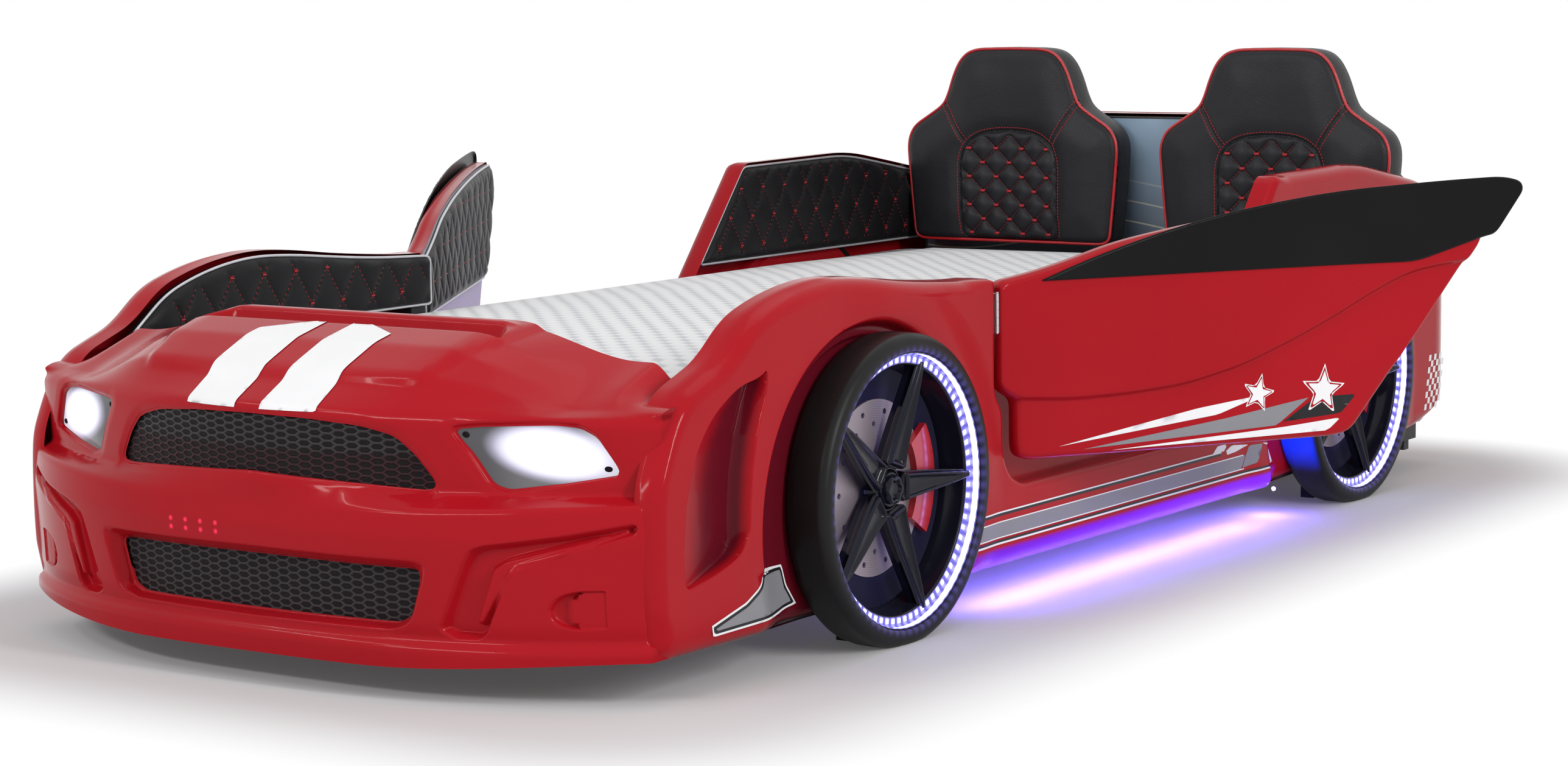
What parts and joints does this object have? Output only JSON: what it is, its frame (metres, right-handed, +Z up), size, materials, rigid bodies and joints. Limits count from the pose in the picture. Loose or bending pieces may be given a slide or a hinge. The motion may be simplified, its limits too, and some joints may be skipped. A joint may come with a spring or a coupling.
{
  "type": "car bed for children",
  "caption": "Single bed for a child shaped as a sports car, with wing doors that open, quilted pads, two seat-shaped backrests, lit wheels and a mattress on slats.",
  "frame": {"origin": "on the floor, under the middle of the bed's box with the doors standing open as at rest", "axes": "+X towards the bed's left side, +Y towards the headboard (the nose points along -Y), +Z up"},
  "size_m": [1.8286, 2.32, 0.672],
  "materials": {
    "red_shell": "glossy",
    "grille": "satin",
    "lens": "clear",
    "white_plastic": "satin",
    "screws": "satin",
    "red_lamp": "glossy",
    "board": "plain fibreboard",
    "pale_board": "white laminate",
    "quilt": "quilted leatherette",
    "tyre": "matt",
    "rim": "glossy",
    "disc": "satin",
    "caliper": "glossy",
    "lamp_ring": "glowing",
    "wing": "glossy",
    "steel": "satin",
    "leatherette": "grained",
    "ticking": "woven",
    "panel": "printed",
    "slat": "planed",
    "foot": "matt"
  },
  "bodies": {
    "bed": {"front_shell": "red_shell", "upper_grille": "grille", "lower_grille": "grille", "left_headlight_lens": "lens", "left_headlight_lamp": "white_plastic", "right_headlight_lens": "lens", "right_headlight_lamp": "white_plastic", "lens_screws": "screws", "indicator_lamps": "red_lamp", "front_board": "board", "left_side_shell": "red_shell", "left_side_board": "board", "left_fender_pad": "quilt", "left_quarter_pad": "quilt", "right_side_shell": "red_shell", "right_side_board": "board", "right_fender_pad": "quilt", "right_quarter_pad": "quilt", "front_left_tyre": "tyre", "front_left_rim": "rim", "front_right_tyre": "tyre", "front_right_rim": "rim", "rear_left_tyre": "tyre", "rear_left_rim": "rim", "rear_right_tyre": "tyre", "rear_right_rim": "rim", "brake_discs": "disc", "brake_calipers": "caliper", "hub_caps": "rim", "wheel_lamp_rings": "lamp_ring", "left_hinge_body_leaf": "steel", "left_seat": "leatherette", "right_hinge_body_leaf": "steel", "right_seat": "leatherette", "hinge_posts": "board", "hinge_pins": "steel", "seat_boards": "board", "mattress": "ticking", "headboard": "board", "picture_panel": "panel", "rear_shell": "red_shell", "power_inlet": "screws", "led_driver": "screws", "slats": "slat", "slat_battens": "slat", "centre_beam": "slat", "legs": "slat", "feet": "foot", "underglow_strips": "white_plastic", "frame_bolts": "steel"},
    "left_door": {"left_door_shell": "red_shell", "left_door_board": "pale_board", "left_door_pad": "quilt", "left_door_wing": "wing", "left_hinge_door_leaf": "steel"},
    "right_door": {"right_door_shell": "red_shell", "right_door_board": "pale_board", "right_door_pad": "quilt", "right_door_wing": "wing", "right_hinge_door_leaf": "steel"}
  },
  "joints": [
    {"name": "left_door_hinge", "type": "hinge", "parent": "bed", "child": "left_door", "pos_m": [0.49, -0.3, 0.373], "axis": [0, 0, -1], "range_deg": [-31.5, 43.5]},
    {"name": "right_door_hinge", "type": "hinge", "parent": "bed", "child": "right_door", "pos_m": [-0.49, -0.3, 0.373], "axis": [0, 0, 1], "range_deg": [-31.5, 43.5]}
  ]
}
